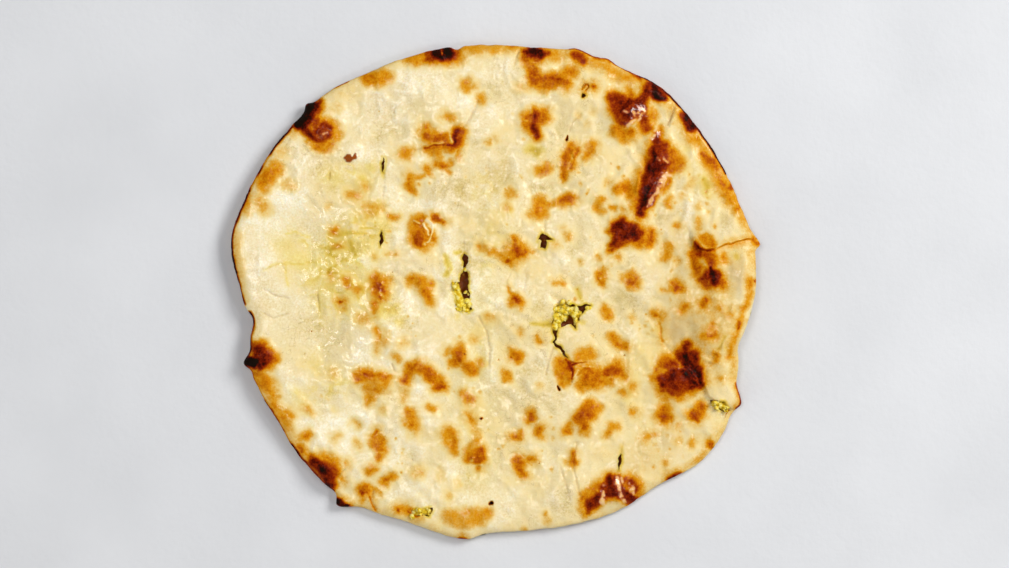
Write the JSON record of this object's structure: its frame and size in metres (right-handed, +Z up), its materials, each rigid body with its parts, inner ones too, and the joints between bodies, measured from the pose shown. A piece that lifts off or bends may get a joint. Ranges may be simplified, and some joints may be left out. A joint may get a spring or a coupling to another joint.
{
  "type": "cheese naan",
  "caption": "Oval leavened flatbread with scorched blisters, a curled side and tears in its upper layer that show the melted cheese inside.",
  "frame": {"origin": "middle of the outline, on the surface that the bread lies on", "axes": "+Z up, out of the scorched upper face; +X to the right of the bread as it is shown from above, towards the curled side; +Y away from the viewer"},
  "size_m": [0.2864, 0.2682, 0.0202],
  "materials": {
    "dough": "baked dough, cream to golden with dark brown scorch marks, brushed with butter",
    "cheese": "melted and browned cheese curds, soft sheen"
  },
  "bodies": {
    "root": {"bread": "dough", "cheese_filling": "cheese"}
  },
  "joints": []
}
